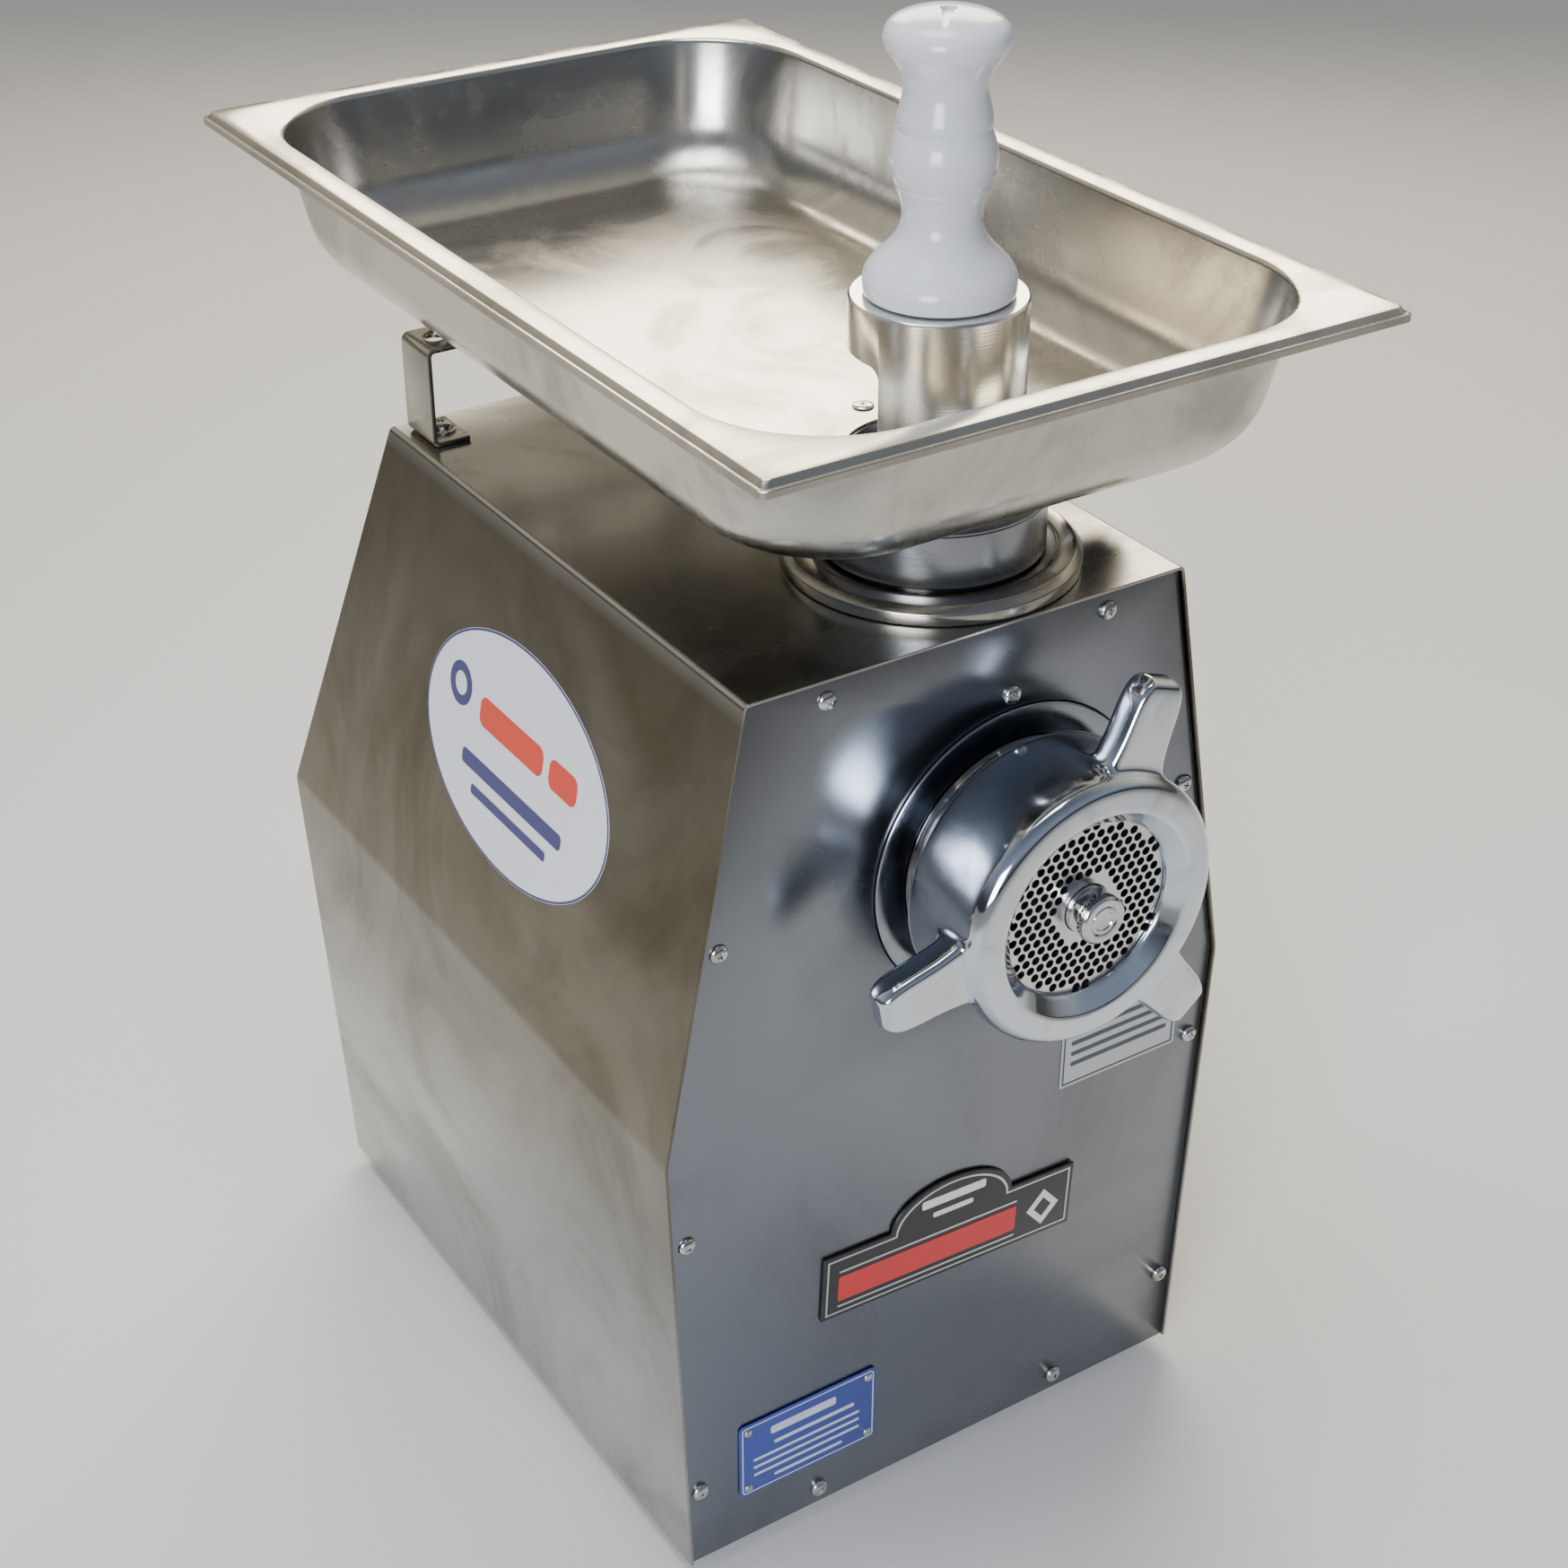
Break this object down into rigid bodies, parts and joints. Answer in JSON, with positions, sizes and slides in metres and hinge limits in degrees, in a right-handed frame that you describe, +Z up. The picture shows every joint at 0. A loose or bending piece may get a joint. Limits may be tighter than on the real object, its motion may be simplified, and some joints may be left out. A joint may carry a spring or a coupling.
{
  "type": "electric meat grinder",
  "caption": "Countertop meat grinder: stainless housing, cast head with feed screw, knife, perforated plate and lugged ring nut, gastronorm tray, hand guard and pusher.",
  "frame": {"origin": "middle of the object's footprint, on the surface that the feet stand on", "axes": "+Z up, -Y towards the outlet of the grinding head, +X to the right when facing the outlet"},
  "size_m": [0.3466, 0.5494, 0.727],
  "materials": {
    "stainless": "brushed stainless sheet with smudges",
    "polished_steel": "mirror-polished casting",
    "steel": "machined",
    "aluminium": "satin turned",
    "cast_iron": "painted casting",
    "laminations": "stacked laminations",
    "painted_steel": "semi-gloss paint",
    "blue_plate": "printed aluminium",
    "rubber": "matt",
    "black_plastic": "moulded, slightly worn",
    "white_plastic": "turned nylon, glossy"
  },
  "bodies": {
    "machine": {"housing_wrap": "stainless", "front_panel": "stainless", "rear_panel": "stainless", "base_plate": "steel", "foot_front_left": "rubber", "foot_front_right": "rubber", "foot_rear_left": "rubber", "foot_rear_right": "rubber", "chassis_frame": "painted_steel", "cable_gland": "black_plastic", "motor_stator": "aluminium", "motor_bell_front": "aluminium", "motor_bell_rear": "aluminium", "motor_bearing_front": "steel", "motor_bearing_rear": "steel", "motor_cradle": "cast_iron", "fan_cowl": "painted_steel", "drive_belt": "rubber", "gearbox_case": "cast_iron", "gearbox_cover": "cast_iron", "output_bearing_front": "steel", "output_bearing_rear": "steel", "pinion_bearing_front": "steel", "pinion_bearing_rear": "steel", "rear_bearing_block": "cast_iron", "head_hub": "steel", "head_barrel": "polished_steel", "throat_tube": "polished_steel", "top_collar": "polished_steel", "shaft_seal": "rubber", "tray_bridge": "stainless", "bridge_bolt_left": "steel", "bridge_bolt_right": "steel", "switch_body": "black_plastic", "run_capacitor": "black_plastic", "contactor_box": "black_plastic", "name_badge": "black_plastic", "data_plate": "blue_plate"},
    "feed_train": {"output_gear": "steel", "output_shaft": "steel", "feed_screw": "polished_steel", "knife": "steel"},
    "layshaft": {"pinion_shaft": "steel", "driven_pulley": "cast_iron"},
    "motor_rotor": {"rotor_shaft": "steel", "rotor_core": "laminations", "cooling_fan": "black_plastic", "motor_pulley": "cast_iron"},
    "plate": {"cutting_plate": "steel"},
    "nut": {"ring_nut": "polished_steel"},
    "tray": {"tray_pan": "stainless", "tray_sleeve": "aluminium", "tray_screw_1": "steel", "tray_screw_2": "steel", "tray_screw_3": "steel", "throat_guard": "aluminium"},
    "pusher": {"pusher": "white_plastic"},
    "thumb_screw": {"clamp_knob": "black_plastic", "clamp_stud": "steel"},
    "switch_dial": {"switch_knob": "black_plastic"}
  },
  "joints": [
    {"name": "feed_spin", "type": "hinge", "parent": "machine", "child": "feed_train", "pos_m": [0.01075, 0, 0.365], "axis": [0, 1, 0], "continuous": true},
    {"name": "layshaft_spin", "type": "hinge", "parent": "machine", "child": "layshaft", "pos_m": [0.01075, 0, 0.28], "axis": [0, 1, 0], "continuous": true},
    {"name": "motor_spin", "type": "hinge", "parent": "machine", "child": "motor_rotor", "pos_m": [0.01075, 0, 0.113], "axis": [0, 1, 0], "continuous": true},
    {"name": "plate_travel", "type": "slide", "parent": "machine", "child": "plate", "axis": [0, -1, 0], "range_m": [0, 0.013]},
    {"name": "nut_turn", "type": "hinge", "parent": "plate", "child": "nut", "pos_m": [0.01075, 0, 0.365], "axis": [0, -1, 0], "range_deg": [0, 1080]},
    {"name": "tray_lift", "type": "slide", "parent": "machine", "child": "tray", "axis": [0, 0, 1], "range_m": [0, 0.06]},
    {"name": "pusher_lift", "type": "slide", "parent": "tray", "child": "pusher", "axis": [0, 0, 1], "range_m": [0, 0.19]},
    {"name": "clamp_turn", "type": "hinge", "parent": "tray", "child": "thumb_screw", "pos_m": [0.01075, -0.13925, 0.513], "axis": [1, 0, 0], "range_deg": [0, 720]},
    {"name": "switch_turn", "type": "hinge", "parent": "machine", "child": "switch_dial", "pos_m": [0.14058, -0.11275, 0.193], "axis": [0.9995, 0, -0.0315], "range_deg": [-45, 45]}
  ],
  "couplings": [
    {"joint": "layshaft_spin", "follows": "feed_spin", "ratio": -3},
    {"joint": "motor_spin", "follows": "feed_spin", "ratio": -8.25},
    {"joint": "plate_travel", "follows": "nut_turn", "m_per_rad": 0.00063662}
  ]
}
